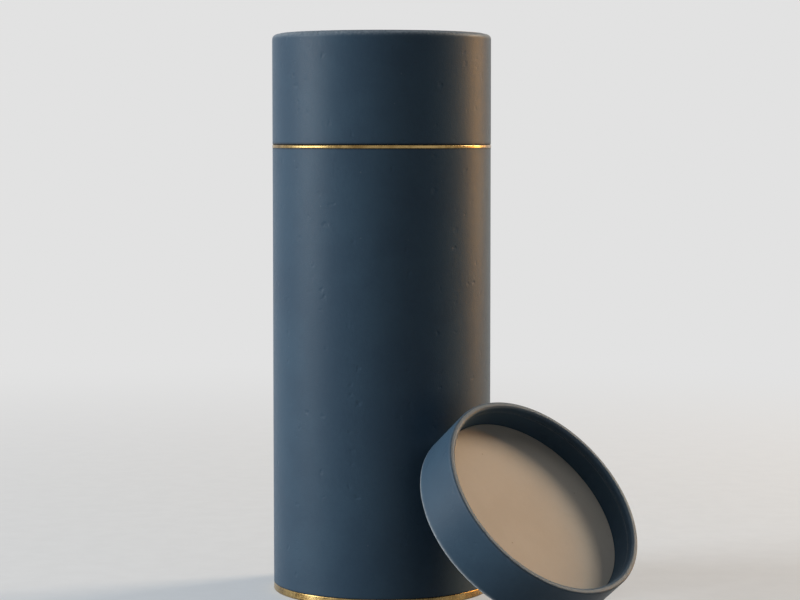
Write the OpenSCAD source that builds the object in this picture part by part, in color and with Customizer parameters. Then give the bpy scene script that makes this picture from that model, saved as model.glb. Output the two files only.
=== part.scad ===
/* [Tube] */
// Outside diameter of the covered tube, its lid and its loose cap
outer_d = 80; // [50:1:160]
// Height from the ground to the top of the gold ring at the seam
body_h = 163.8; // [60:0.2:400]
// Thickness of the greyboard disc that closes the foot
base_t = 2.1; // [1:0.1:5]
// Thickness of the coloured paper and of every lining paper
paper_t = 0.25; // [0.1:0.05:0.5]

/* [Neck] */
// How far the neck stands above the seam
neck_h = 9; // [4:0.5:30]
// Thickness of the neck's greyboard
neck_wall = 1.2; // [0.6:0.1:3]
// Room all round between the neck and the lid that slides over it
neck_clear = 0.15; // [0.05:0.05:0.5]
// Rounding of the neck's top edge
neck_edge = 0.6; // [0.3:0.1:1.2]

/* [Gold rings] */
// Height of the gold ring round the foot
foot_ring_h = 2.8; // [1:0.1:10]
// Height of the gold ring at the seam
seam_ring_h = 1.2; // [0.8:0.1:6]
// Thickness of the gold foil where it is folded over a board edge
ring_fold = 0.35; // [0.2:0.05:0.8]
// How far the gold rings stand out from the coloured paper
ring_proud = 0.1; // [0:0.05:0.5]
// Width of the foot ring's fold underneath the tube
foot_fold_w = 6; // [3:0.5:15]
// Rounding of the foot ring's lower edge
foot_round = 0.6; // [0.2:0.05:1]
// Rounding of the seam ring's upper edge
seam_round = 0.3; // [0.1:0.05:0.35]
// Rounding of the rings' edges beside the coloured paper
ring_edge = 0.15; // [0.05:0.05:0.2]

/* [Lid] */
// Height of the lid from the seam to its flat top
lid_h = 40.1; // [25:0.1:120]
// Rounding of the lid's open edge
lid_rim_round = 0.4; // [0.3:0.05:1]

/* [Loose cap] */
// Height of the loose cap from its closed end to its rim
cap_h = 19.6; // [16:0.2:60]
// Rounding of the loose cap's open edge
cap_rim_round = 0.4; // [0.3:0.05:1.2]
// Angle of the cap's axis above the ground as it leans
cap_lean = 40; // [20:1:70]
// Direction the cap's mouth is turned to, seen from above
cap_turn = -44.5; // [-180:0.5:180]
// Room between the leaning cap and the tube it leans on
lean_gap = 0.2; // [0.05:0.05:1]

/* [Closures] */
// Thickness of the greyboard wall of the lid and of the cap
shell_wall = 2.1; // [1.5:0.1:4]
// Rounding of the outer edge round each closed end
edge_round = 1.8; // [0.8:0.1:3]
// Thickness of the greyboard disc in each closed end
end_t = 2.1; // [1:0.1:4]
// Thickness of the padding disc under each beige facing
plug_t = 7; // [2:0.5:12]
// Room all round each beige facing
face_clear = 0.2; // [0.1:0.05:1]
// Width of the coloured paper turned in at each open edge
turn_in = 2.6; // [1.5:0.1:8]
// Width of the coloured paper turned over onto each closed end
turn_over = 4; // [1:0.5:12]
// Margin between the rounded edge and each end paper
end_margin = 0.8; // [0.2:0.1:5]
// Width of the line left between the turned paper and the lining
lining_line = 0.15; // [0.05:0.05:0.5]

/* [Paper laps] */
// Width of the strip where the coloured paper overlaps itself
lap_w = 8; // [3:0.5:20]
// Height of the overlapping strip above the paper beside it
lap_t = 0.15; // [0.05:0.05:0.3]
// Distance between the end of the strip and the edge of its paper
lap_end = 0.6; // [0.2:0.1:2]

/* [Hidden] */
outer_r = outer_d / 2;
board_r = outer_r - paper_t;
ring_r = outer_r + ring_proud;

shell_inner_r = board_r - shell_wall;
bore_r = shell_inner_r - paper_t;
neck_r = bore_r - neck_clear;
neck_board_r = neck_r - paper_t;
neck_inner_r = neck_board_r - neck_wall;
hollow_r = neck_inner_r - paper_t;

base_z0 = ring_fold;
base_z1 = base_z0 + base_t;
floor_z = base_z1 + paper_t;
body_top_z = body_h - ring_fold;
neck_top_z = body_h + neck_h;
foot_fold_r = board_r - foot_fold_w;
foot_paper_r = foot_fold_r - lining_line;
foot_paper_z = base_z0 - paper_t;

lid_top_z = body_h + lid_h;
end_z = paper_t + end_t;
plug_z = end_z + plug_t;
face_z = plug_z + paper_t;
face_r = bore_r - face_clear;
flat_r = outer_r - edge_round;
end_paper_r = flat_r - end_margin;
fold_r = end_paper_r - turn_over;
lap_angle = lap_w / outer_r * 180 / PI;

axis_out = (outer_r - edge_round) * sin(cap_lean) - edge_round * cos(cap_lean);
cap_r = outer_r + lean_gap + edge_round + axis_out;
cap_z = (outer_r - edge_round) * cos(cap_lean) + edge_round * (1 - sin(cap_lean));

cut = 1;
$fn = 96;

paper_blue = [0.23, 0.30, 0.38];
gold = [0.78, 0.62, 0.30];
greyboard = [0.62, 0.58, 0.52];
beige = [0.74, 0.67, 0.57];

// Corner to be taken off a section so that its edge is round
module corner(x, z, r, sx, sz) {
  difference() {
    translate([sx > 0 ? x - cut : x - r, sz > 0 ? z - cut : z - r])
      square([r + cut, r + cut]);
    translate([x + sx * r, z + sz * r]) circle(r = r);
  }
}

// Section of a ring between two radii and two heights with round edges
module section(r0, r1, z0, z1, top_out = 0, top_in = 0, low_out = 0, low_in = 0) {
  difference() {
    translate([r0, z0]) square([r1 - r0, z1 - z0]);
    if (top_out > 0) corner(r1, z1, top_out, -1, -1);
    if (top_in > 0) corner(r0, z1, top_in, 1, -1);
    if (low_out > 0) corner(r1, z0, low_out, -1, 1);
    if (low_in > 0) corner(r0, z0, low_in, 1, 1);
  }
}

// Plain round disc
module disc(r, z0, z1) {
  translate([0, 0, z0]) cylinder(r = r, h = z1 - z0);
}

// Strip where the paper's end overlaps its beginning
module lap(z0, z1) {
  rotate([0, 0, 90 - lap_angle / 2])
    rotate_extrude(angle = lap_angle)
      translate([outer_r - paper_t / 2, z0])
        square([paper_t / 2 + lap_t, z1 - z0]);
}

// Wall of a lid or cap that stands on its closed end
module shell_board(h, rim) {
  board_rim = rim - paper_t;
  rotate_extrude()
    section(shell_inner_r, board_r, paper_t, h - paper_t,
      top_out = board_rim, top_in = board_rim, low_out = edge_round - paper_t);
}

// Coloured paper round a lid or cap, turned in at the rim and over the end
module shell_paper(h, rim) {
  board_rim = rim - paper_t;
  rotate_extrude() {
    difference() {
      section(bore_r, outer_r, 0, h, top_out = rim, top_in = rim, low_out = edge_round);
      section(shell_inner_r, board_r, paper_t, h - paper_t,
        top_out = board_rim, top_in = board_rim, low_out = edge_round - paper_t);
      translate([bore_r - cut, -cut]) square([paper_t + cut, h - turn_in + cut]);
    }
    translate([fold_r, 0]) square([shell_inner_r - fold_r + paper_t, paper_t]);
  }
  lap(edge_round + lap_end, h - rim - lap_end);
}

// Greyboard disc in the closed end
module shell_end() {
  disc(shell_inner_r, paper_t, end_z);
}

// End paper lying over the turned paper and down onto the board inside it
module shell_end_paper() {
  rotate_extrude() {
    translate([fold_r - paper_t, -paper_t]) square([end_paper_r - fold_r + paper_t, paper_t]);
    square([fold_r, paper_t]);
  }
}

// Lining of the wall from the padding disc to the turned paper
module shell_lining(h) {
  rotate_extrude() section(bore_r, shell_inner_r, plug_z, h - turn_in - lining_line);
}

// Padding disc behind the beige facing
module shell_plug() {
  disc(shell_inner_r, end_z, plug_z);
}

// Beige facing seen inside the closed end
module shell_face() {
  disc(face_r, plug_z, face_z);
}

// Turns a closure over so that its mouth looks down onto the tube
module as_lid() {
  translate([0, 0, lid_top_z]) rotate([180, 0, 180]) children();
}

// Leans a closure on the tube with its closed edge on the ground
module as_cap() {
  translate([cap_r * cos(cap_turn), cap_r * sin(cap_turn), cap_z])
    rotate([0, 90 - cap_lean, cap_turn]) children();
}

// Greyboard wall of the tube
module body_tube() {
  color(greyboard)
    rotate_extrude() section(neck_r, board_r, base_z0, body_top_z);
}

// Coloured paper round the tube between the two gold rings
module body_wrap() {
  color(paper_blue) {
    rotate_extrude() section(board_r, outer_r, foot_ring_h, body_h - seam_ring_h);
    lap(foot_ring_h + lap_end, body_h - seam_ring_h - lap_end);
  }
}

// Inner greyboard tube whose upper end is the neck
module neck_tube() {
  color(greyboard)
    rotate_extrude()
      section(neck_inner_r, neck_board_r, base_z1, neck_top_z - paper_t,
        top_out = neck_edge - paper_t);
}

// Paper cover of the inner tube, folded over the neck's top edge
module neck_cover() {
  color(paper_blue)
    rotate_extrude()
      difference() {
        section(hollow_r, neck_r, base_z1, neck_top_z, top_out = neck_edge);
        section(hollow_r - cut, neck_board_r, base_z1 - cut, neck_top_z - paper_t,
          top_out = neck_edge - paper_t);
      }
}

// Paper lining inside the tube
module inner_lining() {
  color(beige)
    rotate_extrude() section(hollow_r, neck_inner_r, floor_z, neck_top_z - paper_t);
}

// Greyboard disc that closes the foot
module base_board() {
  color(greyboard) disc(neck_r, base_z0, base_z1);
}

// Paper disc on the floor inside the tube
module base_lining_disc() {
  color(beige) disc(neck_inner_r, base_z1, floor_z);
}

// Paper disc under the foot
module foot_paper() {
  color(paper_blue) disc(foot_paper_r, foot_paper_z, base_z0);
}

// Gold ring round the foot, folded in underneath
module foot_ring() {
  color(gold)
    rotate_extrude()
      difference() {
        section(foot_fold_r, ring_r, 0, foot_ring_h,
          top_out = ring_edge, low_out = foot_round);
        translate([foot_fold_r - cut, ring_fold])
          square([board_r - foot_fold_r + cut, foot_ring_h]);
      }
}

// Gold ring round the top of the tube, folded in over its edge
module seam_ring() {
  color(gold)
    rotate_extrude()
      difference() {
        section(neck_r, ring_r, body_h - seam_ring_h, body_h,
          top_out = seam_round, low_out = ring_edge);
        translate([neck_r - cut, body_h - seam_ring_h - cut])
          square([board_r - neck_r + cut, seam_ring_h - ring_fold + cut]);
      }
}

// Greyboard wall of the lid
module lid_tube() {
  color(greyboard) as_lid() shell_board(lid_h, lid_rim_round);
}

// Coloured paper round the lid
module lid_wrap() {
  color(paper_blue) as_lid() shell_paper(lid_h, lid_rim_round);
}

// Greyboard disc in the lid's top
module lid_top_board() {
  color(greyboard) as_lid() shell_end();
}

// Coloured paper disc on the lid's top
module lid_top_paper() {
  color(paper_blue) as_lid() shell_end_paper();
}

// Coloured lining of the lid's wall
module lid_lining() {
  color(paper_blue) as_lid() shell_lining(lid_h);
}

// Padding disc inside the lid
module lid_plug() {
  color(greyboard) as_lid() shell_plug();
}

// Beige facing inside the lid
module lid_plug_face() {
  color(beige) as_lid() shell_face();
}

// Greyboard wall of the loose cap
module cap_tube() {
  color(greyboard) as_cap() shell_board(cap_h, cap_rim_round);
}

// Coloured paper round the loose cap
module cap_wrap() {
  color(paper_blue) as_cap() shell_paper(cap_h, cap_rim_round);
}

// Greyboard disc in the cap's closed end
module cap_end_board() {
  color(greyboard) as_cap() shell_end();
}

// Coloured paper disc on the cap's closed end
module cap_end_paper() {
  color(paper_blue) as_cap() shell_end_paper();
}

// Coloured lining of the cap's wall
module cap_lining() {
  color(paper_blue) as_cap() shell_lining(cap_h);
}

// Padding disc inside the cap
module cap_plug() {
  color(greyboard) as_cap() shell_plug();
}

// Beige facing inside the cap
module cap_plug_face() {
  color(beige) as_cap() shell_face();
}

body_tube();
body_wrap();
neck_tube();
neck_cover();
inner_lining();
base_board();
base_lining_disc();
foot_paper();
foot_ring();
seam_ring();
lid_tube();
lid_wrap();
lid_top_board();
lid_top_paper();
lid_lining();
lid_plug();
lid_plug_face();
cap_tube();
cap_wrap();
cap_end_board();
cap_end_paper();
cap_lining();
cap_plug();
cap_plug_face();
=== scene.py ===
"""Looks of a round paper gift tube: tall lid, inner neck, gold rings and a loose shallow cap.

Lengths are in millimetres in the row frame, and become metres where a mesh is made.
"""

import logging
import math
from collections.abc import Callable, Sequence
from dataclasses import dataclass, field
from enum import Enum

import bpy
import numpy as np
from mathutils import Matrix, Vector

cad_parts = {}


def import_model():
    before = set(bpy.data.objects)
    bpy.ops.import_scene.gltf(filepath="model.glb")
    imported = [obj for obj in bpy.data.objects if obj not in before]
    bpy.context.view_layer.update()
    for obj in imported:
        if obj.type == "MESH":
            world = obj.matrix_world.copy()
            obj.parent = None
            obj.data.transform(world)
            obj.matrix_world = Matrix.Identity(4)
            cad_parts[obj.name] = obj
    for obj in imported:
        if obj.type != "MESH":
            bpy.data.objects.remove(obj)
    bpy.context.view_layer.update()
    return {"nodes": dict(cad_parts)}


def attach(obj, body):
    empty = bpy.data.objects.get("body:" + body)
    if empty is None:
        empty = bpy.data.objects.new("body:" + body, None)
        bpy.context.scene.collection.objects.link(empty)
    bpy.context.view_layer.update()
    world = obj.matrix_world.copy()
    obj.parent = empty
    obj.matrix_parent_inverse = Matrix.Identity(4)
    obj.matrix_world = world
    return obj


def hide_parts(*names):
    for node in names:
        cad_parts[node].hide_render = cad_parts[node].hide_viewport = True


LOG = logging.getLogger("gift_tube")
MM = 0.001

# Sizes that several pieces share.
PAPER = 0.25
OUTER_R = 40.0
BOARD_R = OUTER_R - PAPER
BORE_R = 37.4
SHELL_INNER_R = BORE_R + PAPER
NECK_R = 37.25
CLOSED_EDGE = 1.8
SEAM_Z = 163.8
LID_H = 40.1
CAP_H = 19.6

FULL_TURN = 2 * math.pi

# Angles in radians and lengths below which two things count as the same.
NO_TURN = 1e-4
SAME_ANGLE = 0.0006
SAME_PLACE = 1e-4
WALL_TOLERANCE = 0.02

# Lengths over which waves and pleats fade out, and the waves themselves.
WALL_FADE = 0.6
PLEAT_FADE = 0.7
SWELL = ((1.0, 2, 31.0, 0.0), (0.7, 3, -19.0, 1.3), (0.5, 5, 47.0, 2.1))

Colour = tuple[float, float, float, float]
Point = tuple[float, float, float]


def new_object(name: str, data: bpy.types.ID) -> bpy.types.Object:
    """Object with the given data, linked to the scene."""
    made = bpy.data.objects.new(name, data)
    bpy.context.scene.collection.objects.link(made)
    return made


class Slot(Enum):
    """Material slots of the record."""

    BLUE = "blue_paper"
    BEIGE = "beige_paper"
    GOLD = "gold_foil"
    BOARD = "greyboard"


class Body(Enum):
    """Rigid bodies of the record."""

    TUBE = "tube"
    LID = "lid"
    CAP = "cap"


@dataclass(frozen=True)
class Placement:
    """Where a local form stands in the row frame: turned about its origin, then moved."""

    turn: np.ndarray = field(default_factory=lambda: np.eye(3))
    shift: np.ndarray = field(default_factory=lambda: np.zeros(3))

    def to_row(self, points: np.ndarray) -> np.ndarray:
        """Turn and move points.

        Args:
            points: array whose last axis holds local x, y, z.

        Returns:
            The same array in the row frame.
        """
        return points @ self.turn.T + self.shift


def turn_about(axis: int, degrees: float) -> np.ndarray:
    """Right-handed rotation matrix.

    Args:
        axis: 0, 1 or 2 for x, y or z.
        degrees: angle of the turn.

    Returns:
        A 3 by 3 matrix.
    """
    c, s = math.cos(math.radians(degrees)), math.sin(math.radians(degrees))
    first, second = [(1, 2), (2, 0), (0, 1)][axis]
    matrix = np.eye(3)
    matrix[first, first] = matrix[second, second] = c
    matrix[first, second], matrix[second, first] = -s, s
    return matrix


@dataclass(frozen=True)
class Corner:
    """Corner of a section: its place, its rounding and its rubbing.

    Rubbing above nothing wears an edge pale, and on the lid's and cap's closed edges and the cap's
    rim it is also a painted highlight; below nothing it is painted shade in a gap between parts.
    Reach is how far it spreads along the section, in mm.
    """

    r: float
    z: float
    radius: float = 0.04
    rub_and_painted_light: float = 0.0
    reach: float = 0.3


@dataclass(frozen=True)
class Section:
    """Sampled section: places (n, 2), length along it (n,) and rubbing with painted light (n,)."""

    places: np.ndarray
    along: np.ndarray
    rub_and_painted_light: np.ndarray
    closed: bool


@dataclass(frozen=True)
class Tracer:
    """Turns corners into a smooth sampled section.

    Each corner becomes a circle arc that touches both its sides. Each straight between two arcs
    gets points close to either end, which keep its shading flat and its rubbing, painted highlight
    and painted shade narrow, and points at an even step.
    """

    step: float = 3.0
    near: float = 0.15
    arc_degrees: float = 15.0
    close_marks: tuple[float, ...] = (2.5, 5.0, 8.0)

    def arc(self, before: Corner, here: Corner, after: Corner) -> np.ndarray:
        """Arc that rounds one corner.

        The centre lies on the inner side of the turn, one radius from both sides, and the points
        run evenly in angle from the first touching point to the second.

        Args:
            before: corner before this one.
            here: corner to be rounded.
            after: corner after this one.

        Returns:
            Points of shape (k, 2).
        """
        a, p, b = (np.array([c.r, c.z]) for c in (before, here, after))
        d1 = (p - a) / np.linalg.norm(p - a)
        d2 = (b - p) / np.linalg.norm(b - p)
        turn = math.atan2(d1[0] * d2[1] - d1[1] * d2[0], float(d1 @ d2))
        if here.radius <= 0 or abs(turn) < NO_TURN:
            return p[None, :]
        start = p - d1 * here.radius * math.tan(abs(turn) / 2)
        normal = np.array([-d1[1], d1[0]]) * math.copysign(1.0, turn)
        centre = start + normal * here.radius
        count = max(3, math.ceil(math.degrees(abs(turn)) / self.arc_degrees) + 1)
        angles = np.linspace(0.0, turn, count)
        spoke = start - centre
        cos, sin = np.cos(angles), np.sin(angles)
        return centre + np.stack(
            [spoke[0] * cos - spoke[1] * sin, spoke[0] * sin + spoke[1] * cos], axis=1
        )

    def straight(self, start: np.ndarray, end: np.ndarray) -> np.ndarray:
        """Points strictly between two places.

        Args:
            start: place where the straight begins.
            end: place where it ends.

        Returns:
            Points of shape (k, 2), without the two ends.
        """
        length = float(np.linalg.norm(end - start))
        if length < 4 * self.near:
            return np.empty((0, 2))
        count = max(2, math.ceil(length / self.step) + 1)
        inner = np.linspace(self.near, length - self.near, count)
        close = self.near * np.array(self.close_marks)
        close = close[close < length / 2 - self.near]
        inner = np.sort(np.concatenate([inner, close, length - close]))
        inner = inner[np.concatenate([[True], np.diff(inner) > self.near / 2])]
        return start + (end - start) * (inner / length)[:, None]

    def trace(self, corners: Sequence[Corner], closed: bool = True) -> Section:
        """Sample a section.

        Args:
            corners: corners in order, anticlockwise with r to the right and z up.
            closed: whether the last corner joins the first; an open one ends on the axis.

        Returns:
            The sampled section.
        """
        count = len(corners)
        arcs: list[np.ndarray] = []
        for k, here in enumerate(corners):
            if closed or 0 < k < count - 1:
                arcs.append(self.arc(corners[k - 1], here, corners[(k + 1) % count]))
            else:
                arcs.append(np.array([[here.r, here.z]]))
        parts: list[np.ndarray] = []
        rubs_and_painted_light: list[np.ndarray] = []
        reaches: list[np.ndarray] = []
        for k, here in enumerate(corners):
            crest = np.zeros(len(arcs[k]))
            crest[len(crest) // 2] = here.rub_and_painted_light
            parts.append(arcs[k])
            rubs_and_painted_light.append(crest)
            reaches.append(np.full(len(crest), here.reach))
            if closed or k < count - 1:
                run = self.straight(arcs[k][-1], arcs[(k + 1) % count][0])
                parts.append(run)
                rubs_and_painted_light.append(np.zeros(len(run)))
                reaches.append(np.ones(len(run)))
        places, rub_and_painted_light, reach = (np.concatenate(rows) for rows in (parts, rubs_and_painted_light, reaches))
        keep = np.ones(len(places), bool)
        keep[1:] = np.linalg.norm(np.diff(places, axis=0), axis=1) > SAME_PLACE
        if closed and np.linalg.norm(places[0] - places[-1]) < SAME_PLACE:
            keep[-1] = False
        places, rub_and_painted_light, reach = places[keep], rub_and_painted_light[keep], reach[keep]
        gaps = np.linalg.norm(np.diff(places, axis=0), axis=1)
        along = np.concatenate([[0.0], np.cumsum(gaps)])
        apart = np.abs(along[:, None] - along[None, :])
        near = np.exp(-((apart / reach[None, :]) ** 2))
        # Rubbing above nothing, on some edges also a painted highlight, and painted shade below
        # nothing, each spread along the section.
        worn_and_painted_light = (np.maximum(rub_and_painted_light, 0.0)[None, :] * near).max(axis=1)
        painted_shade = (np.maximum(-rub_and_painted_light, 0.0)[None, :] * near).max(axis=1)
        return Section(places, along, worn_and_painted_light - painted_shade, closed)


@dataclass(frozen=True)
class Lap:
    """Strip at the back where the paper's end lies over its beginning."""

    width: float = 8.0
    height: float = 0.13
    centre_degrees: float = 90.0
    slope: float = 1.0
    cut: float = 0.08
    sharp: float = 0.05

    def stations(self) -> np.ndarray:
        """Distances from the strip's middle where its height changes, in mm."""
        half = self.width / 2
        return np.array([-half, -half + self.slope, half - self.cut, half])

    def rise(self, angles: np.ndarray, radius: float) -> np.ndarray:
        """Height above the paper beside it.

        It climbs over the buried end in a soft slope, stays level, and drops at the cut edge.

        Args:
            angles: angles about the axis, in radians.
            radius: radius of the paper, in mm.

        Returns:
            Heights in mm.
        """
        away = angles - math.radians(self.centre_degrees)
        away = (away + math.pi) % FULL_TURN - math.pi
        return self.height * np.interp(away * radius, self.stations(), [0.0, 1.0, 1.0, 0.0])

    def angles(self, radius: float) -> np.ndarray:
        """Extra angles that let the strip's edges be sharp, in radians."""
        marks = self.stations()
        extra = np.concatenate([marks + d for d in (-self.sharp, 0.0, self.sharp)])
        return math.radians(self.centre_degrees) + extra / radius


@dataclass(frozen=True)
class Turned:
    """Form made by turning a section about an axis, on a grid of angles by section points.

    A point at angle t and section place (r, z) is (r cos t, r sin t, z). Its outer side may be
    moved along the section's normal by a lap and by slow waves of the wound board.
    """

    section: Section
    place: Placement = field(default_factory=Placement)
    around: int = 288
    lap: Lap | None = None
    wave: float = 0.0
    pleat_span: tuple[float, float] | None = None

    def angles(self) -> np.ndarray:
        """Angles of the grid, even apart from extra ones at the lap's edges."""
        even = np.linspace(0.0, FULL_TURN, self.around, endpoint=False)
        if self.lap is None:
            return even
        extra = self.lap.angles(OUTER_R) % FULL_TURN
        far = np.abs(even[:, None] - extra[None, :]).min(axis=1) > SAME_ANGLE
        return np.sort(np.concatenate([even[far], extra]))

    def outer_weight(self) -> np.ndarray:
        """One on the upright outer wall, falling smoothly to nothing at its two ends."""
        r, z = self.section.places.T
        wall = np.abs(r - OUTER_R) < WALL_TOLERANCE
        if not wall.any():
            return np.zeros(len(r))
        low, high = z[wall].min(), z[wall].max()
        inside = np.clip(np.minimum(z - low, high - z) / WALL_FADE, 0.0, 1.0)
        return np.where(wall, inside * inside * (3 - 2 * inside), 0.0)

    def swell(self, angles: np.ndarray) -> np.ndarray:
        """Slow unevenness of a wound board: a sum of sine waves in angle and height.

        Each row of SWELL has a wave's size, its crests round the wall, the height in mm over
        which it moves on by one radian, and its phase.

        Args:
            angles: angles about the axis, in radians.

        Returns:
            Moves outwards in mm, of shape (angles, section points).
        """
        t, z = angles[:, None], self.section.places[None, :, 1]
        waves = sum(size * np.sin(crests * t + z / rise + at) for size, crests, rise, at in SWELL)
        return self.wave * waves / sum(size for size, *_ in SWELL)

    def build(self, name: str) -> bpy.types.Object:
        """Make the mesh object with its map and its attributes.

        Attributes: the rubbing attribute holds rubbing and painted highlight above nothing and
        painted shade below nothing, wound is (R cos t, R sin t, length along the section) for
        patterns that run round the form, and pleat marks gathered paper.

        Args:
            name: name of the piece.

        Returns:
            The new object, linked to the scene, at the origin.
        """
        angles = self.angles()
        r, z = self.section.places.T
        rise = self.outer_weight()[None, :] * self.swell(angles)
        if self.lap is not None:
            rise = rise + self.outer_weight()[None, :] * self.lap.rise(angles, OUTER_R)[:, None]
        radius = r[None, :] + rise
        cos, sin = np.cos(angles)[:, None], np.sin(angles)[:, None]
        grid = np.stack([radius * cos, radius * sin, np.broadcast_to(z, radius.shape)], axis=2)
        grid = self.place.to_row(grid) * MM
        steady = np.broadcast_to(self.section.along, radius.shape)
        wound = np.stack([OUTER_R * cos + 0 * steady, OUTER_R * sin + 0 * steady, steady], axis=2)
        rub_and_painted_light = np.broadcast_to(self.section.rub_and_painted_light, radius.shape)
        pleat = np.broadcast_to(self.pleats(), radius.shape)
        layers = {"rub_and_painted_light": rub_and_painted_light, "wound": wound * MM, "pleat": pleat}
        sheet = GridSheet(grid, angles * OUTER_R, self.section, layers)
        return sheet.to_object(name)

    def pleats(self) -> np.ndarray:
        """One between two lengths along the section, falling off on either side."""
        if self.pleat_span is None:
            return np.zeros(len(self.section.along))
        low, high = self.pleat_span
        out = np.maximum(low - self.section.along, self.section.along - high)
        return np.clip(1.0 - out / PLEAT_FADE, 0.0, 1.0)


@dataclass(frozen=True)
class GridSheet:
    """Grid of points that closes round one way, and closes or ends in poles the other way."""

    grid: np.ndarray
    round_length: np.ndarray
    section: Section
    layers: dict[str, np.ndarray]

    def faces(self) -> tuple[np.ndarray, np.ndarray]:
        """Quads as (angle, point) index pairs.

        Returns:
            Angle indices and point indices, each of shape (faces, 4), not yet wrapped.
        """
        rows, columns = self.grid.shape[:2]
        last = columns if self.section.closed else columns - 1
        i, j = np.meshgrid(np.arange(rows), np.arange(last), indexing="ij")
        i, j = i.ravel(), j.ravel()
        return np.stack([i, i + 1, i + 1, i], axis=1), np.stack([j, j, j + 1, j + 1], axis=1)

    def to_object(self, name: str) -> bpy.types.Object:
        """Weld the grid into one closed mesh.

        Every pole is one vertex, and the quads that meet it lose the edge that has no length.

        Args:
            name: name of the mesh and its object.

        Returns:
            The new object.
        """
        rows, columns = self.grid.shape[:2]
        index = np.arange(rows * columns).reshape(rows, columns)
        if not self.section.closed:
            index[:, 0] = index[0, 0]
            index[:, -1] = index[0, -1]
        used, compact = np.unique(index, return_inverse=True)
        index = compact.reshape(rows, columns)
        i, j = self.faces()
        corners = index[i % rows, j % columns]
        length = self.round_length
        u = np.concatenate([length, [length[0] + FULL_TURN * OUTER_R]])[i]
        v = np.concatenate([self.section.along, [self.section.along[-1] + PAPER]])[j]
        keep = corners != np.roll(corners, -1, axis=1)
        counts = keep.sum(axis=1)
        flat = corners[keep]
        mesh = bpy.data.meshes.new(name)
        points = self.grid.reshape(-1, 3)[used]
        mesh.vertices.add(len(points))
        mesh.vertices.foreach_set("co", points.astype(np.float32).ravel())
        mesh.loops.add(len(flat))
        mesh.loops.foreach_set("vertex_index", flat.astype(np.int32))
        mesh.polygons.add(len(counts))
        starts = np.concatenate([[0], np.cumsum(counts)[:-1]])
        mesh.polygons.foreach_set("loop_start", starts.astype(np.int32))
        mesh.update(calc_edges=True)
        layer = mesh.uv_layers.new(name="round_and_along")
        uv = np.stack([u[keep], v[keep]], axis=1) * MM
        layer.data.foreach_set("uv", uv.astype(np.float32).ravel())
        for key, values in self.layers.items():
            kind = "FLOAT_VECTOR" if values.ndim == 3 else "FLOAT"
            flat_values = values.reshape(rows * columns, -1)[used].astype(np.float32)
            data = mesh.attributes.new(key, kind, "POINT").data
            data.foreach_set("vector" if values.ndim == 3 else "value", flat_values.ravel())
        mesh.polygons.foreach_set("use_smooth", np.ones(len(counts), bool))
        mesh.validate()
        return new_object(name, mesh)


Socket = bpy.types.NodeSocket
Plug = Socket | float | tuple


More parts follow.
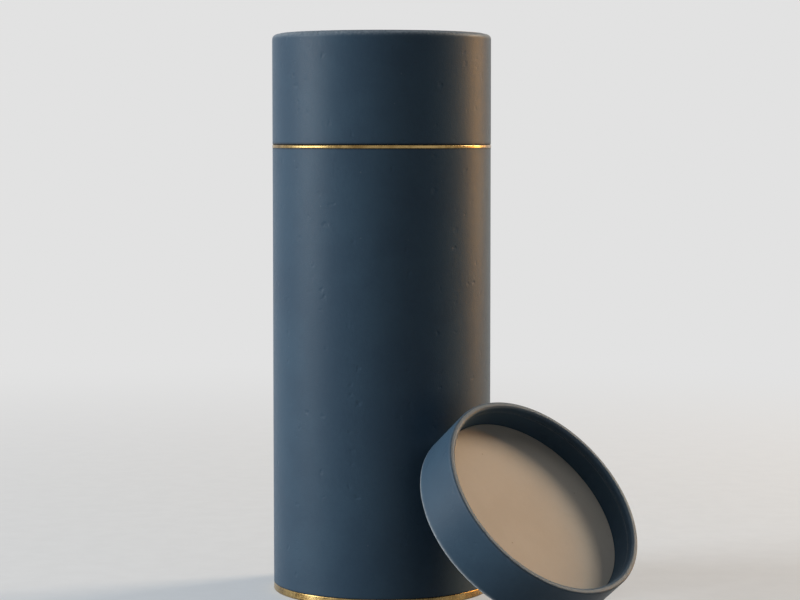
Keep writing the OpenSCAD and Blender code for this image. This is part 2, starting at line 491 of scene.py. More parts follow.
@dataclass
class Sketch:
    """Short way to add nodes to a tree and join them."""

    tree: bpy.types.NodeTree

    def add(
        self, kind: str, sockets: dict[str | int, Plug] | None = None, **settings: object
    ) -> bpy.types.Node:
        """Add a node, set its properties and feed its sockets.

        Args:
            kind: type of the node.
            sockets: what goes into its inputs, by name or number.
            settings: its properties.

        Returns:
            The node.
        """
        node = self.tree.nodes.new(kind)
        for key, value in settings.items():
            setattr(node, key, value)
        for key, source in (sockets or {}).items():
            self.feed(node.inputs[key], source)
        return node

    def feed(self, target: Socket, source: Plug) -> None:
        """Join a socket to another, or set its value."""
        if isinstance(source, bpy.types.NodeSocket):
            self.tree.links.new(source, target)
        else:
            target.default_value = source

    def math(self, operation: str, first: Plug, second: Plug = 0.0, clamp: bool = False) -> Socket:
        """Math node on one or two values."""
        inputs = {0: first, 1: second}
        return self.add("ShaderNodeMath", inputs, operation=operation, use_clamp=clamp).outputs[0]

    def mean(self, first: Plug, second: Plug, share: float = 0.5) -> Socket:
        """Weighted mean of two values; the share is that of the first."""
        parts = self.math("MULTIPLY", first, share), self.math("MULTIPLY", second, 1 - share)
        return self.math("ADD", *parts)

    def spread(self, value: Plug, low: float, high: float, to_low: Plug, to_high: Plug) -> Socket:
        """Map a value smoothly from one range onto another."""
        inputs = dict(enumerate((value, low, high, to_low, to_high)))
        node = self.add("ShaderNodeMapRange", inputs, interpolation_type="SMOOTHSTEP")
        return node.outputs["Result"]

    def noise(self, vector: Plug, scale: Plug, detail: float = 2.0, rough: float = 0.5) -> Socket:
        """Noise texture's value."""
        inputs = {"Vector": vector, "Scale": scale, "Detail": detail, "Roughness": rough}
        return self.add("ShaderNodeTexNoise", inputs).outputs["Fac"]

    def cells(self, vector: Plug, scale: Plug) -> tuple[Socket, bpy.types.NodeOutputs]:
        """Cell pattern: distance from each cell's middle, and three random values per cell."""
        cells = self.add("ShaderNodeTexVoronoi", {"Vector": vector, "Scale": scale}).outputs
        parts = self.add("ShaderNodeSeparateColor", {0: cells["Color"]})
        return cells["Distance"], parts.outputs

    def stretch(self, vector: Socket, scale: Point) -> Socket:
        """Vector scaled by its own factor along each axis."""
        return self.add("ShaderNodeMapping", {"Vector": vector, "Scale": scale}).outputs["Vector"]

    def blend(self, amount: Plug, first: Plug, second: Plug) -> Socket:
        """Mix of two colours."""
        inputs = {"Factor": amount, 6: first, 7: second}
        return self.add("ShaderNodeMix", inputs, data_type="RGBA").outputs[2]

    def either(self, amount: Plug, first: Socket, second: Socket) -> Socket:
        """Mix of two shaders."""
        return self.add("ShaderNodeMixShader", {0: amount, 1: first, 2: second}).outputs[0]

    def place(self) -> Socket:
        """Object coordinates."""
        return self.add("ShaderNodeTexCoord").outputs["Object"]

    def attribute(self, name: str, output: str = "Fac") -> Socket:
        """Mesh attribute by name."""
        return self.add("ShaderNodeAttribute", attribute_name=name).outputs[output]

    def group(self, tree: bpy.types.NodeTree, **inputs: Plug) -> Socket:
        """Place a shared group and return its only output."""
        return self.add("ShaderNodeGroup", inputs, node_tree=tree).outputs[0]

    def bump(self, height: Socket, distance: float, under: Socket | None = None) -> Socket:
        """Bump node; distance is in metres."""
        inputs = {"Distance": distance, "Height": height}
        if under is not None:
            inputs["Normal"] = under
        return self.add("ShaderNodeBump", inputs).outputs["Normal"]


def rgba(red: float, green: float, blue: float) -> Colour:
    """Opaque colour from values written as a screen shows them, 0 to 255."""
    values = np.array([red, green, blue]) / 255.0
    linear = np.where(values > 0.04045, ((values + 0.055) / 1.055) ** 2.4, values / 12.92)
    return (*(float(v) for v in linear), 1.0)


def grey(level: float) -> Colour:
    """Opaque grey of a linear level."""
    return (level, level, level, 1.0)


def start_material(name: str) -> tuple[bpy.types.Material, Sketch, bpy.types.Node]:
    """New material, a sketch of its tree and its Principled BSDF."""
    material = bpy.data.materials.new(name)
    material.use_nodes = True
    tree = material.node_tree
    return material, Sketch(tree), tree.nodes["Principled BSDF"]


def new_group(
    name: str, inputs: dict[str, float | None], fill: Callable[[Sketch, dict[str, Socket]], Socket]
) -> bpy.types.NodeTree:
    """Make a shared shader group with one value output.

    Args:
        name: name of the group.
        inputs: input names with their start values; None makes a vector input.
        fill: draws the nodes and returns the socket to put out.

    Returns:
        The group's node tree.
    """
    tree = bpy.data.node_groups.new(name, "ShaderNodeTree")
    for key, start in inputs.items():
        kind = "NodeSocketVector" if start is None else "NodeSocketFloat"
        socket = tree.interface.new_socket(name=key, in_out="INPUT", socket_type=kind)
        if start is not None:
            socket.default_value = start
    tree.interface.new_socket(name="Value", in_out="OUTPUT", socket_type="NodeSocketFloat")
    sketch = Sketch(tree)
    entry = sketch.add("NodeGroupInput")
    exit_node = sketch.add("NodeGroupOutput")
    sketch.feed(exit_node.inputs[0], fill(sketch, {s.name: s for s in entry.outputs if s.name}))
    return tree


class Effects:
    """Shared shader groups: tooth, mottle, specks, dents, and edges with rubbing and painted
    light.

    Each drawing method takes the sketch of its group and the group's inputs by name, and returns
    the value that the group puts out.
    """

    def __init__(self) -> None:
        """Build each group once."""
        place: dict[str, float | None] = {"Vector": None}
        self.tooth = new_group("tooth", place | {"Fine": 2600.0, "Coarse": 700.0}, self._tooth)
        self.mottle = new_group("mottle", place | {"Scale": 45.0}, self._mottle)
        dots = {"Scale": 300.0, "Size": 0.2, "Share": 0.1}
        self.specks = new_group("specks", place | dots, self._specks)
        self.dents = new_group("dents", place | {"Scale": 60.0, "Share": 0.15}, self._dents)
        self.rubbed_and_painted_light = new_group("rubbed_and_painted_light", place | {"Rub": 0.0, "Scale": 900.0}, self._rubbed_and_painted_light)

    @staticmethod
    def _tooth(s: Sketch, i: dict[str, Socket]) -> Socket:
        """Paper tooth: fine noise over coarser felt marks, both about one half."""
        fine = s.noise(i["Vector"], i["Fine"], 3.0, 0.65)
        coarse = s.noise(i["Vector"], i["Coarse"], 2.0, 0.5)
        return s.mean(fine, coarse, 0.6)

    @staticmethod
    def _mottle(s: Sketch, i: dict[str, Socket]) -> Socket:
        """Uneven dye: one slow noise mapped onto 0 to 1."""
        slow = s.noise(i["Vector"], i["Scale"], 4.0, 0.55)
        return s.spread(slow, 0.32, 0.68, 0.0, 1.0)

    @staticmethod
    def _specks(s: Sketch, i: dict[str, Socket]) -> Socket:
        """Specks: a soft dot at the middle of some cells, the share of cells being an input."""
        away, chance = s.cells(i["Vector"], i["Scale"])
        dot = s.spread(s.math("DIVIDE", away, i["Size"]), 0.5, 1.0, 1.0, 0.0)
        return s.math("MULTIPLY", dot, s.math("LESS_THAN", chance[0], i["Share"]))

    @staticmethod
    def _dents(s: Sketch, i: dict[str, Socket]) -> Socket:
        """Shallow dents: smooth hollows in some cells, bent by noise so that none is round."""
        wander = s.add("ShaderNodeTexNoise", {"Vector": i["Vector"], "Scale": 260.0})
        bend = {0: wander.outputs["Color"], 1: (0.004, 0.004, 0.004), 2: i["Vector"]}
        moved = s.add("ShaderNodeVectorMath", bend, operation="MULTIPLY_ADD").outputs[0]
        away, chance = s.cells(moved, i["Scale"])
        hollow = s.spread(away, 0.0, 0.34, -1.0, 0.0)
        chosen = s.math("LESS_THAN", chance[1], i["Share"])
        return s.math("MULTIPLY", hollow, s.math("MULTIPLY", chosen, chance[2]))

    @staticmethod
    def _rubbed_and_painted_light(s: Sketch, i: dict[str, Socket]) -> Socket:
        """Rubbed edges, painted highlights and painted shade: the rubbing attribute, made weaker
        here and there by noise.
        """
        broken = s.noise(i["Vector"], i["Scale"], 3.0, 0.55)
        return s.math("MULTIPLY", i["Rub"], s.spread(broken, 0.3, 0.65, 0.45, 1.0))


@dataclass(frozen=True)
class PaperFinish:
    """Covering paper: dyed, with tooth, mottle, specks, dents, rubbing and painted highlight and
    shade.
    """

    name: str
    deep: Colour
    light: Colour
    speck: Colour
    # Pale colour that edges lighten to with rubbing, also used for painted edge highlights.
    core_and_highlight: Colour
    # Near-black colour of painted shade in gaps between parts.
    painted_shade: Colour
    roughness: tuple[float, float]
    specular: float
    fine: float
    coarse: float
    relief: float
    dimple: float
    speck_share: float
    # How strongly edges lighten, for rubbing and for painted highlights.
    wear_and_highlight_strength: float
    dent: float = 0.00012
    crease: float = 0.00014

    def make(self, effects: Effects) -> bpy.types.Material:
        """Build the material.

        Args:
            effects: the shared groups.

        Returns:
            The finished material.
        """
        material, s, shader = start_material(self.name)
        place = s.place()
        tooth = s.group(effects.tooth, Vector=place, Fine=self.fine, Coarse=self.coarse)
        mottle = s.group(effects.mottle, Vector=place, Scale=42.0)
        share = self.speck_share
        specks = s.group(effects.specks, Vector=place, Scale=420.0, Size=0.16, Share=share)
        dents = s.group(effects.dents, Vector=place, Scale=75.0, Share=0.14)
        dimples = s.group(effects.dents, Vector=place, Scale=240.0, Share=0.4)
        # Rubbing attribute: above nothing it lightens edges, also as painted highlights on the
        # closed edges and the cap's rim; below nothing it is painted shade in the gaps by the gold
        # rings.
        rub_and_painted_light = s.attribute("rub_and_painted_light")
        worn_and_painted_light = s.math("MAXIMUM", rub_and_painted_light, 0.0)
        painted_shade = s.math("MULTIPLY", s.math("MINIMUM", rub_and_painted_light, 0.0), -1.0, clamp=True)
        rubbed_and_painted_light = s.group(effects.rubbed_and_painted_light, Vector=place, Rub=worn_and_painted_light, Scale=1100.0)
        # The tooth also drives the bump, so its hollows get painted shade, a little darker, on top
        # of the dye's mottle.
        shade = s.spread(s.mean(mottle, tooth, 0.35), 0.2, 0.8, 0.0, 1.0)
        colour = s.blend(shade, self.deep, self.light)
        colour = s.blend(s.math("MULTIPLY", specks, 0.6), colour, self.speck)
        colour = s.blend(s.math("MULTIPLY", rubbed_and_painted_light, self.wear_and_highlight_strength), colour, self.core_and_highlight)
        # Painted shade: gaps darken towards the near-black colour.
        s.feed(shader.inputs["Base Color"], s.blend(painted_shade, colour, self.painted_shade))
        s.feed(shader.inputs["Roughness"], s.spread(tooth, 0.3, 0.7, *self.roughness))
        wound = s.stretch(s.attribute("wound", "Vector"), (1.0, 1.0, 0.06))
        fold = s.spread(s.noise(wound, 700.0), 0.52, 0.75, 0.0, -1.0)
        fold = s.math("MULTIPLY", fold, s.attribute("pleat"))
        low = s.bump(dents, self.dent)
        low = s.bump(dimples, self.dimple, low)
        low = s.bump(fold, self.crease, low)
        s.feed(shader.inputs["Normal"], s.bump(tooth, self.relief, low))
        shader.inputs["Specular IOR Level"].default_value = self.specular
        return material


@dataclass(frozen=True)
class FoilFinish:
    """Gold foil on paper: fine scratches round the ring, small creases, pits, and edges darkened
    by rubbing and painted shade.
    """

    name: str
    bright: Colour
    deep: Colour
    # Dark colour of pits and of edges with rubbing, also painted shade at the seam ring's top.
    worn_and_painted_light: Colour
    roughness: tuple[float, float] = (0.17, 0.36)
    crease: float = 0.00002
    scratch: float = 0.000012

    def make(self, effects: Effects) -> bpy.types.Material:
        """Build the material.

        Args:
            effects: the shared groups.

        Returns:
            The finished material.
        """
        material, s, shader = start_material(self.name)
        place = s.place()
        wound = s.attribute("wound", "Vector")
        hair = s.noise(s.stretch(wound, (1.0, 1.0, 55.0)), 160.0, 4.0, 0.7)
        crease = s.noise(s.stretch(wound, (1.0, 1.0, 0.35)), 900.0, 3.0, 0.6)
        pits = s.group(effects.specks, Vector=place, Scale=1100.0, Size=0.3, Share=0.10)
        cloud = s.group(effects.mottle, Vector=place, Scale=120.0)
        rubbed_and_painted_light = s.group(effects.rubbed_and_painted_light, Vector=place, Rub=s.attribute("rub_and_painted_light"), Scale=1500.0)
        tone = s.spread(s.mean(hair, cloud, 0.6), 0.15, 0.75, 0.0, 1.0)
        colour = s.blend(tone, self.deep, self.bright)
        colour = s.blend(s.math("MULTIPLY", pits, 0.35), colour, self.worn_and_painted_light)
        # Edges darken with rubbing, and at the seam ring's top with painted shade beside the lid.
        colour = s.blend(s.math("MULTIPLY", rubbed_and_painted_light, 0.5), colour, self.worn_and_painted_light)
        s.feed(shader.inputs["Base Color"], colour)
        shader.inputs["Metallic"].default_value = 1.0
        rough = s.spread(s.mean(hair, crease), 0.3, 0.7, *self.roughness)
        s.feed(shader.inputs["Roughness"], rough)
        normal = s.bump(crease, self.crease)
        s.feed(shader.inputs["Normal"], s.bump(hair, self.scratch, normal))
        return material


@dataclass(frozen=True)
class BoardFinish:
    """Raw greyboard: matted grey fibres with pale and dark flecks in wound plies."""

    name: str
    deep: Colour
    light: Colour
    fleck: Colour
    roughness: tuple[float, float] = (0.8, 0.95)
    relief: float = 0.00012
    specular: float = 0.25

    def make(self, effects: Effects) -> bpy.types.Material:
        """Build the material.

        Args:
            effects: the shared groups.

        Returns:
            The finished material.
        """
        material, s, shader = start_material(self.name)
        place = s.place()
        tooth = s.group(effects.tooth, Vector=place, Fine=1500.0, Coarse=420.0)
        flecks = s.group(effects.specks, Vector=place, Scale=700.0, Size=0.35, Share=0.22)
        plies = s.noise(s.stretch(place, (1.0, 1.0, 14.0)), 110.0, 3.0, 0.6)
        # The tooth also drives the bump, so its hollows get painted shade, a little darker, on top
        # of the plies.
        shade = s.spread(s.mean(plies, tooth), 0.3, 0.7, 0.0, 1.0)
        colour = s.blend(shade, self.deep, self.light)
        colour = s.blend(s.math("MULTIPLY", flecks, 0.5), colour, self.fleck)
        s.feed(shader.inputs["Base Color"], colour)
        s.feed(shader.inputs["Roughness"], s.spread(tooth, 0.3, 0.7, *self.roughness))
        s.feed(shader.inputs["Normal"], s.bump(tooth, self.relief))
        shader.inputs["Specular IOR Level"].default_value = self.specular
        return material


class Finishes:
    """One finished material for each slot."""

    def __init__(self) -> None:
        """Build the shared groups and the four materials."""
        effects = Effects()
        blue = PaperFinish(
            name="slate_blue_paper",
            deep=rgba(59, 80, 99),
            light=rgba(65, 88, 107),
            speck=rgba(92, 108, 122),
            core_and_highlight=rgba(188, 194, 198),
            painted_shade=rgba(10, 13, 16),
            roughness=(0.37, 0.47),
            specular=0.14,
            fine=2400.0,
            coarse=620.0,
            relief=0.00007,
            dimple=0.00012,
            speck_share=0.02,
            wear_and_highlight_strength=0.5,
        )
        beige = PaperFinish(
            name="beige_lining_paper",
            deep=rgba(194, 185, 173),
            light=rgba(201, 193, 182),
            speck=rgba(150, 130, 104),
            core_and_highlight=rgba(214, 202, 182),
            painted_shade=rgba(96, 82, 64),
            roughness=(0.62, 0.78),
            specular=0.25,
            fine=2200.0,
            coarse=520.0,
            relief=0.00004,
            dimple=0.00001,
            speck_share=0.03,
            wear_and_highlight_strength=0.3,
        )
        gold = FoilFinish(
            name="gold_foil",
            bright=rgba(178, 151, 100),
            deep=rgba(118, 93, 52),
            worn_and_painted_light=rgba(68, 52, 32),
        )
        board = BoardFinish(
            name="raw_greyboard",
            deep=rgba(128, 118, 104),
            light=rgba(164, 154, 138),
            fleck=rgba(84, 74, 62),
        )
        self.by_slot: dict[Slot, bpy.types.Material] = {
            Slot.BLUE: blue.make(effects),
            Slot.BEIGE: beige.make(effects),
            Slot.GOLD: gold.make(effects),
            Slot.BOARD: board.make(effects),
        }


@dataclass
class Workshop:
    """Dresses new pieces and kept CAD nodes."""

    nodes: dict[str, bpy.types.Object]
    finishes: Finishes

    def add(self, form: Turned, name: str, node: str, body: Body, slot: Slot) -> None:
        """Build a piece in place of a CAD node.

        Args:
            form: the turned form.
            name: name of the piece.
            node: CAD node that it stands for.
            body: body that it rides on.
            slot: material slot.
        """
        piece = form.build(name)
        piece.data.materials.append(self.finishes.by_slot[slot])
        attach(piece, body.value)
        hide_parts(node)
        LOG.info("%s stands for %s: %d faces", name, node, len(piece.data.polygons))

    def keep(self, node: str, slot: Slot) -> None:
        """Give a kept CAD node its material.

        Args:
            node: name of the node.
            slot: material slot.
        """
        mesh = self.nodes[node].data
        if not mesh.materials:
            mesh.materials.append(None)
        for k in range(len(mesh.materials)):
            mesh.materials[k] = self.finishes.by_slot[slot]
        LOG.info("%s keeps its CAD form", node)


@dataclass
class TubeBody:
    """The standing tube with its neck, linings, foot and two gold rings.

    Each method named after a piece returns that piece's turned form.
    """

    shop: Workshop
    seam_z: float = SEAM_Z
    seam_ring_h: float = 1.2
    foot_ring_h: float = 2.8
    ring_r: float = 40.1
    ring_top_r: float = 39.9
    fold: float = 0.35
    fold_in_r: float = 33.75
    foot_gap: float = 0.15
    neck_top_z: float = 172.8
    neck_board_r: float = 37.0
    neck_inner_r: float = 35.8
    hollow_r: float = 35.55
    base_top_z: float = 2.45

    def paper(self) -> Turned:
        """Blue paper between the two rings, with its lap at the back."""
        low, high = self.foot_ring_h, self.seam_z - self.seam_ring_h
        corners = [
            Corner(BOARD_R, low, 0.02),
            # Below nothing at both outer corners: painted shade along the gaps at the gold rings.
            Corner(OUTER_R, low, 0.06, -0.7),
            Corner(OUTER_R, high, 0.06, -0.7),
            Corner(BOARD_R, high, 0.02),
        ]
        return Turned(Tracer(step=4.0).trace(corners), around=480, lap=Lap(), wave=0.03)

    def neck_paper(self) -> Turned:
        """Blue cover of the inner tube, folded over the neck's top edge."""
        top, low = self.neck_top_z, self.base_top_z
        corners = [
            Corner(self.neck_board_r, low, 0.02),
            Corner(NECK_R, low, 0.03),
            Corner(NECK_R, top, 0.6, 0.7),
            Corner(self.hollow_r, top, 0.1, 0.5),
            Corner(self.hollow_r, top - PAPER, 0.03),
            Corner(self.neck_board_r, top - PAPER, 0.35),
        ]
        return Turned(Tracer(step=6.0).trace(corners), around=360)

    def lining(self) -> Turned:
        """Beige lining of the tube's wall."""
        low, high = self.base_top_z + PAPER, self.neck_top_z - PAPER
        corners = [
            Corner(self.hollow_r, low, 0.03),
            Corner(self.neck_inner_r, low, 0.03),
            Corner(self.neck_inner_r, high, 0.03),
            Corner(self.hollow_r, high, 0.03),
        ]
        return Turned(Tracer(step=6.0).trace(corners), around=360)

    def foot_ring(self) -> Turned:
        """Gold ring round the foot, a little narrower at its top, folded in underneath."""
        high = self.foot_ring_h
        corners = [
            Corner(self.fold_in_r, 0.0, 0.06, 0.2),
            Corner(self.ring_r, 0.0, 0.6, 0.8),
            Corner(self.ring_top_r, high, 0.34, 0.1),
            Corner(BOARD_R, high, 0.01),
            Corner(BOARD_R, self.fold, 0.2),
            Corner(self.fold_in_r, self.fold, 0.03),
        ]
        return Turned(Tracer(step=1.0, near=0.08).trace(corners), around=720)

    def seam_ring(self) -> Turned:
        """Gold ring at the seam, folded in over the wall's edge."""
        high = self.seam_z
        corners = [
            Corner(BOARD_R, high - self.seam_ring_h, 0.03),
            Corner(self.ring_r, high - self.seam_ring_h, 0.3, 0.3),
            # Its top edge darkens, partly as painted shade beside the lid's rim.
            Corner(self.ring_r, high, 0.45, 0.3),
            Corner(NECK_R, high, 0.06, 0.2),
            Corner(NECK_R, high - self.fold, 0.02),
            Corner(BOARD_R, high - self.fold, 0.1),
        ]
        return Turned(Tracer(step=0.6, near=0.06).trace(corners), around=720)

    def disc(self, radius: float, low: float, edge: float) -> Turned:
        """Flat paper disc.

        Args:
            radius: radius of the disc.
            low: height of its underside.
            edge: rounding of its edges.

        Returns:
            The turned form.
        """
        corners = [
            Corner(0.0, low),
            Corner(radius, low, edge),
            Corner(radius, low + PAPER, edge),
            Corner(0.0, low + PAPER),
        ]
        return Turned(Tracer(step=4.0).trace(corners, closed=False), around=240)

    def build(self) -> None:
        """Build and dress every piece of the tube."""
        shop = self.shop
        shop.add(self.paper(), "tube_paper", "body_wrap", Body.TUBE, Slot.BLUE)
        shop.add(self.neck_paper(), "neck_paper", "neck_cover", Body.TUBE, Slot.BLUE)
        shop.add(self.lining(), "tube_lining", "inner_lining", Body.TUBE, Slot.BEIGE)
        floor = self.disc(self.neck_inner_r, self.base_top_z, 0.05)
        shop.add(floor, "floor_paper", "base_lining_disc", Body.TUBE, Slot.BEIGE)
        under = self.disc(self.fold_in_r - self.foot_gap, self.fold - PAPER, 0.08)
        shop.add(under, "foot_disc", "foot_paper", Body.TUBE, Slot.BLUE)
        shop.add(self.foot_ring(), "foot_gold", "foot_ring", Body.TUBE, Slot.GOLD)
        shop.add(self.seam_ring(), "seam_gold", "seam_ring", Body.TUBE, Slot.GOLD)
        for node in ("body_tube", "neck_tube", "base_board"):
            shop.keep(node, Slot.BOARD)


@dataclass
class Closure:
    """A lid or cap, in its own frame: closed end at height 0, mouth upwards.

    Rim and rim_in are the roundings of the open edge outside and inside, and edge is that of the
    closed end. Each method named after a piece returns that piece's turned form.
    """

    shop: Workshop
    body: Body
    height: float
    rim: float
    rim_in: float
    # Rim marks: below nothing, as on the lid, painted shade in the gap above the seam ring; above
    # nothing, as on the cap, rubbing and a painted highlight.
    rim_rub_and_painted_light: float
    # Closed-edge marks: rubbing, also a painted highlight along the edge.
    edge_rub_and_highlight: float
    place: Placement
    end: str
    edge: float = CLOSED_EDGE
    edge_reach: float = 0.95
    rim_reach: float = 0.6
    rim_in_reach: float = 0.35
    board: float = 2.1
    padding: float = 7.0
    turn_in: float = 2.6
    turn_over: float = 4.0
    margin: float = 0.8
    line: float = 0.15
    face_clear: float = 0.2

    @property
    def end_paper_r(self) -> float:
        """Radius of the end paper."""
        return OUTER_R - self.edge - self.margin

    @property
    def fold_r(self) -> float:
        """Radius where the turned-over paper ends."""
        return self.end_paper_r - self.turn_over

    @property
    def plug_z(self) -> float:
        """Height of the padding disc's inner face."""
        return PAPER + self.board + self.padding

    def paper(self) -> Turned:
        """Blue paper round the wall, over the closed end's edge and in at the rim."""
        h, turned = self.height, self.height - self.turn_in
        corners = [
            Corner(self.fold_r, 0.0, 0.04),
            Corner(OUTER_R, 0.0, self.edge, self.edge_rub_and_highlight, self.edge_reach),
            Corner(OUTER_R, h, self.rim, self.rim_rub_and_painted_light, self.rim_reach),
            Corner(BORE_R, h, self.rim_in, abs(self.rim_rub_and_painted_light), self.rim_in_reach),
            Corner(BORE_R, turned, 0.05, 0.2),
            Corner(SHELL_INNER_R, turned, 0.02),
            Corner(SHELL_INNER_R, h - PAPER, self.rim_in - PAPER),
            Corner(BOARD_R, h - PAPER, self.rim - PAPER),
            Corner(BOARD_R, PAPER, self.edge - PAPER),
            Corner(self.fold_r, PAPER, 0.02),
        ]
        section = Tracer(near=0.12, arc_degrees=9.0).trace(corners)
        flat_end = OUTER_R - self.edge - self.fold_r
        span = (flat_end - self.margin, flat_end + self.edge)
        return Turned(section, self.place, around=480, lap=Lap(), wave=0.02, pleat_span=span)

    def wall(self) -> Turned:
        """Greyboard of the wall, its edges rounded by the folding of the paper."""
        top = self.height - PAPER
        corners = [
            Corner(SHELL_INNER_R, PAPER, 0.05),
            Corner(BOARD_R, PAPER, self.edge - PAPER),
            Corner(BOARD_R, top, self.rim - PAPER),
            Corner(SHELL_INNER_R, top, self.rim_in - PAPER),
        ]
        return Turned(Tracer().trace(corners), self.place)

    def lining(self) -> Turned:
        """Blue lining between the padding disc and the turned-in paper."""
        high = self.height - self.turn_in - self.line
        corners = [
            Corner(BORE_R, self.plug_z, 0.03),
            Corner(SHELL_INNER_R, self.plug_z, 0.03),
            Corner(SHELL_INNER_R, high, 0.03),
            Corner(BORE_R, high, 0.05, 0.3),
        ]
        return Turned(Tracer().trace(corners), self.place, around=360)

    def facing(self) -> Turned:
        """Beige disc seen inside the closed end."""
        radius, low = BORE_R - self.face_clear, self.plug_z
        corners = [
            Corner(0.0, low),
            Corner(radius, low, 0.04),
            Corner(radius, low + PAPER, 0.1, 0.25),
            Corner(0.0, low + PAPER),
        ]
        return Turned(Tracer().trace(corners, closed=False), self.place)

    def end_paper(self) -> Turned:
        """Blue disc on the closed end, lying over the turned paper and down inside it."""
        step_r = self.fold_r - PAPER
        corners = [
            Corner(0.0, 0.0),
            Corner(step_r, 0.0, 0.2),
            Corner(step_r, -PAPER, 0.2, 0.2),
            Corner(self.end_paper_r, -PAPER, 0.08, 0.5),
            Corner(self.end_paper_r, 0.0, 0.02),
            Corner(self.fold_r, 0.0, 0.05),
            Corner(self.fold_r, PAPER, 0.05),
            Corner(0.0, PAPER),
        ]
        return Turned(Tracer().trace(corners, closed=False), self.place)

    def build(self) -> None:
        """Build and dress every piece of the closure."""
        shop, who = self.shop, self.body.value
        shop.add(self.paper(), f"{who}_paper", f"{who}_wrap", self.body, Slot.BLUE)
        end_paper = f"{who}_{self.end}_paper"
        shop.add(self.end_paper(), f"{who}_end_disc", end_paper, self.body, Slot.BLUE)
        shop.add(self.lining(), f"{who}_wall_paper", f"{who}_lining", self.body, Slot.BLUE)
        shop.add(self.facing(), f"{who}_facing", f"{who}_plug_face", self.body, Slot.BEIGE)
        shop.add(self.wall(), f"{who}_wall", f"{who}_tube", self.body, Slot.BOARD)
        for node in (f"{who}_{self.end}_board", f"{who}_plug"):
            shop.keep(node, Slot.BOARD)


def make_lid(shop: Workshop) -> Closure:
    """Tall lid, turned over so that its mouth looks down onto the seam."""
    over = turn_about(2, 180) @ turn_about(0, 180)
    return Closure(
        shop,
        body=Body.LID,
        height=LID_H,
        rim=0.4,
        rim_in=0.4,
        # Painted shade in the gap between the rim and the seam ring.
        rim_rub_and_painted_light=-1.0,
        # Pale band along the top edge: rubbing and a painted highlight.
        edge_rub_and_highlight=0.65,
        place=Placement(over, np.array([0.0, 0.0, SEAM_Z + LID_H])),
        end="top",
    )


def make_cap(shop: Workshop) -> Closure:
    """Loose cap, leaning on the tube with its closed edge on the ground."""
    lean, turn, gap, edge = 40.0, -44.5, 0.2, CLOSED_EDGE
    up, side = math.radians(lean), math.radians(turn)
    out = OUTER_R + gap + edge + (OUTER_R - edge) * math.sin(up) - edge * math.cos(up)
    height = (OUTER_R - edge) * math.cos(up) + edge * (1 - math.sin(up))
    shift = np.array([out * math.cos(side), out * math.sin(side), height])
    return Closure(
        shop,
        body=Body.CAP,
        height=CAP_H,
        rim=0.65,
        rim_in=1.25,
        # Pale crest on the rim: a little rubbing and a painted highlight.
        rim_rub_and_painted_light=0.16,
        # Bright pale line along the closed edge: a painted highlight.
        edge_rub_and_highlight=2.6,
        place=Placement(turn_about(2, turn) @ turn_about(1, 90 - lean), shift),
        end="end",
    )


@dataclass(frozen=True)
class Softbox:
    """Large soft lamp that looks at a point."""

    name: str
    at: Point
    aim: Point
    width: float
    height: float
    watts: float
    colour: Point = (1.0, 1.0, 1.0)

    def hang(self) -> None:
        """Make the lamp and turn it to its aim."""
        data = bpy.data.lights.new(self.name, "AREA")
        data.shape = "RECTANGLE"
        data.size, data.size_y = self.width, self.height
        data.energy, data.color = self.watts, self.colour
        lamp = new_object(self.name, data)
        lamp.location = self.at
        way = Vector(self.aim) - Vector(self.at)
        lamp.rotation_euler = way.to_track_quat("-Z", "Y").to_euler()


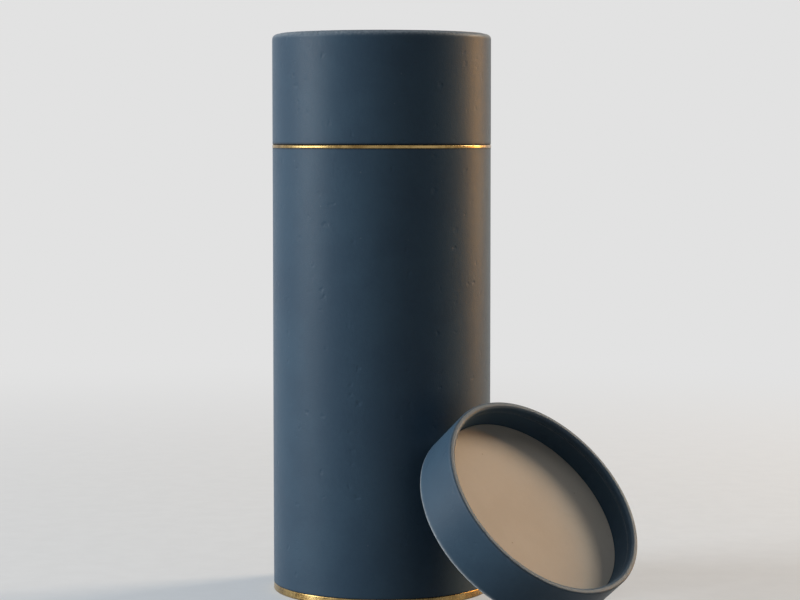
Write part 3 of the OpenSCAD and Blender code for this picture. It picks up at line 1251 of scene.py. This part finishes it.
@dataclass
class Studio:
    """Pale floor, pale surroundings, soft lamps and the camera."""

    floor_r: float = 6.0
    spokes: int = 96
    eye: Point = (0.0067, -0.8918, 0.1681)
    pitch_down: float = 3.94
    lens: float = 109.2
    sensor: float = 36.0
    clip: tuple[float, float] = (0.01, 50.0)
    surround: float = 0.76
    ambient: float = 0.06
    bounce: float = 0.28

    @staticmethod
    def direct(s: Sketch) -> Socket:
        """One for rays from the camera, off gloss and through glass, and nothing for the rest."""
        path = s.add("ShaderNodeLightPath").outputs
        some = s.math("MAXIMUM", path["Is Camera Ray"], path["Is Glossy Ray"])
        return s.math("MAXIMUM", some, path["Is Transmission Ray"])

    def floor_mesh(self) -> bpy.types.Mesh:
        """Round floor: rings of quads about one small polygon in the middle."""
        angles = np.linspace(0.0, FULL_TURN, self.spokes, endpoint=False)
        radii = np.array([0.02, 0.4, 1.5, self.floor_r])
        x = radii[None, :] * np.cos(angles)[:, None]
        y = radii[None, :] * np.sin(angles)[:, None]
        grid = np.stack([x, y, np.zeros_like(x)], axis=2).reshape(-1, 3)
        index = np.arange(grid.shape[0]).reshape(x.shape)
        after = np.roll(index, -1, axis=0)
        quads = np.stack([index[:, :-1], index[:, 1:], after[:, 1:], after[:, :-1]], axis=2)
        mesh = bpy.data.meshes.new("studio_floor")
        faces = [*quads.reshape(-1, 4).tolist(), index[:, 0].tolist()]
        mesh.from_pydata(grid.tolist(), [], faces)
        return mesh

    def floor(self) -> None:
        """Pale matt floor that keeps the object's shadow and melts into the surroundings.

        To the camera, gloss and glass it is its own pale paper near the object and a plain pale
        glow further out. To other rays it is a duller grey, so that it throws little light up.
        """
        material, s, shader = start_material("studio_floor")
        place = s.place()
        grain = s.spread(s.noise(place, 90.0, 4.0, 0.6), 0.3, 0.7, 0.0, 1.0)
        pale = s.blend(grain, rgba(216, 225, 234), rgba(220, 229, 238))
        s.feed(shader.inputs["Base Color"], pale)
        shader.inputs["Roughness"].default_value = 0.9
        shader.inputs["Specular IOR Level"].default_value = 0.1
        away = s.add("ShaderNodeVectorMath", {0: place}, operation="LENGTH").outputs["Value"]
        far = s.add("ShaderNodeEmission", {"Color": grey(self.surround)}).outputs[0]
        seen = s.either(s.spread(away, 0.1, 0.9, 0.35, 1.0), shader.outputs[0], far)
        dull = s.add("ShaderNodeBsdfDiffuse", {"Color": grey(self.bounce)}).outputs[0]
        surface = material.node_tree.nodes["Material Output"].inputs["Surface"]
        s.feed(surface, s.either(self.direct(s), dull, seen))
        mesh = self.floor_mesh()
        mesh.materials.append(material)
        floor = new_object("studio_floor", mesh)

    def surroundings(self) -> None:
        """World that is pale to the camera, metal and glass, and a weak fill to matt surfaces."""
        world = bpy.data.worlds.new("studio")
        bpy.context.scene.world = world
        world.use_nodes = True
        s = Sketch(world.node_tree)
        world.node_tree.nodes.clear()
        cool = (0.8 * self.ambient, self.ambient, 1.15 * self.ambient, 1.0)
        seen = s.add("ShaderNodeBackground", {"Color": grey(self.surround)}).outputs[0]
        fill = s.add("ShaderNodeBackground", {"Color": cool}).outputs[0]
        s.add("ShaderNodeOutputWorld", {"Surface": s.either(self.direct(s), fill, seen)})

    def lamps(self) -> None:
        """Cool soft box at the left, two warm ones at the right and a weak one overhead."""
        foot, middle = (0.0, 0.0, 0.0), (0.0, 0.0, 0.1)
        cool, amber, warm = (0.94, 0.98, 1.0), (1.0, 0.48, 0.10), (1.0, 0.85, 0.68)
        Softbox("left_box", (-1.67, -0.30, 0.45), middle, 0.8, 1.4, 35.0, cool).hang()
        Softbox("right_box", (1.50, 0.76, 0.40), middle, 0.5, 0.8, 15.5, amber).hang()
        Softbox("upper_box", (1.28, 0.69, 0.94), middle, 0.5, 0.5, 16.0, warm).hang()
        Softbox("top_box", (-0.1, -0.1, 1.6), foot, 1.2, 1.2, 4.0).hang()

    def camera(self) -> None:
        """Camera at the place and tilt fitted to the photograph."""
        data = bpy.data.cameras.new("camera")
        data.lens, data.sensor_width, data.sensor_fit = self.lens, self.sensor, "HORIZONTAL"
        data.clip_start, data.clip_end = self.clip
        camera = new_object("camera", data)
        camera.location = self.eye
        camera.rotation_euler = (math.radians(90.0 - self.pitch_down), 0.0, 0.0)
        bpy.context.scene.camera = camera

    def build(self) -> None:
        """Build everything that is not part of the object."""
        self.floor()
        self.surroundings()
        self.lamps()
        self.camera()
        bpy.context.scene.view_settings.view_transform = "Standard"


def main() -> None:
    """Load the frame and build the studio and every sub-assembly."""
    logging.basicConfig(level=logging.INFO, format="%(name)s: %(message)s")
    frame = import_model()
    Studio().build()
    shop = Workshop(frame["nodes"], Finishes())
    TubeBody(shop).build()
    make_lid(shop).build()
    make_cap(shop).build()


if __name__ == "__main__":
    main()
